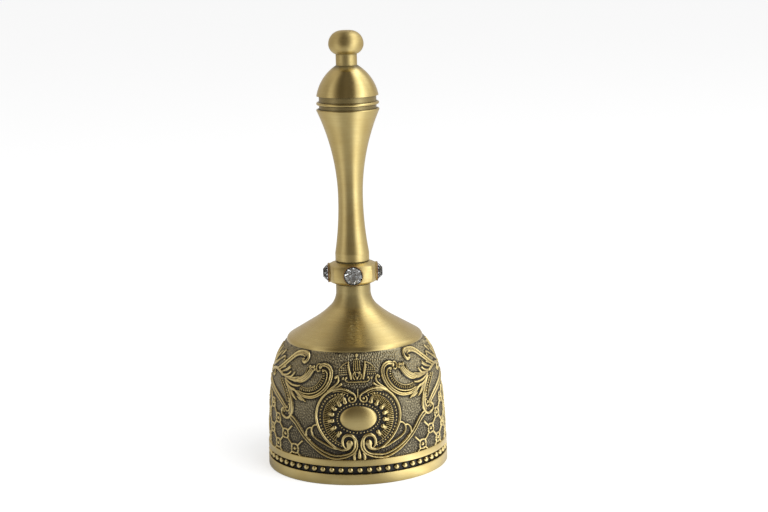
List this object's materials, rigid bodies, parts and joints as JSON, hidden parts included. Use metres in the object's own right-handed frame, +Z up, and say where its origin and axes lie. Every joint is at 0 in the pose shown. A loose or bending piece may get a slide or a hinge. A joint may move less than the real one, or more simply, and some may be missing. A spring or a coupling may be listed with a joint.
{
  "type": "hand bell",
  "caption": "Hand bell with a relief-cast skirt, flared crown, jewelled collar, turned handle with a ball top, and a clapper on a swivel.",
  "frame": {"origin": "centre of the plane of the rim", "axes": "+Z up along the bell's axis, the front with its oval boss faces -Y"},
  "size_m": [0.055, 0.055, 0.1317],
  "materials": {
    "patina_brass": "antique brass plate on a cast relief, dark brown patina in the recesses, raised parts rubbed bright",
    "satin_brass": "antique brass plate, brushed round the axis to a satin gloss",
    "groove_brass": "antique brass plate, dark in the grooves",
    "clapper_brass": "turned brass, slightly dulled",
    "cut_glass": "clear cut glass with a silvered back",
    "plated_steel": "zinc-plated steel"
  },
  "bodies": {
    "bell": {"bell_body": "patina_brass", "crown_shell": "satin_brass", "stone_collar": "satin_brass", "stone_front": "cut_glass", "stone_right": "cut_glass", "stone_back": "cut_glass", "stone_left": "cut_glass", "handle_shaft": "satin_brass", "spool_ring": "groove_brass", "dome_cap": "satin_brass", "finial_knob": "satin_brass", "tie_rod": "plated_steel", "clamp_washer": "plated_steel", "clamp_nut": "plated_steel", "swivel_nut": "plated_steel"},
    "swivel": {"swivel_eye": "plated_steel"},
    "clapper": {"clapper_shank": "plated_steel", "clapper_ball": "clapper_brass", "clapper_tip": "clapper_brass"}
  },
  "joints": [
    {"name": "swivel_turn", "type": "hinge", "parent": "bell", "child": "swivel", "pos_m": [0, 0, 0.0401], "axis": [0, 0, 1], "continuous": true},
    {"name": "clapper_swing", "type": "hinge", "parent": "swivel", "child": "clapper", "pos_m": [0, 0, 0.03384], "axis": [1, 0, 0], "range_deg": [-47, 47]}
  ]
}
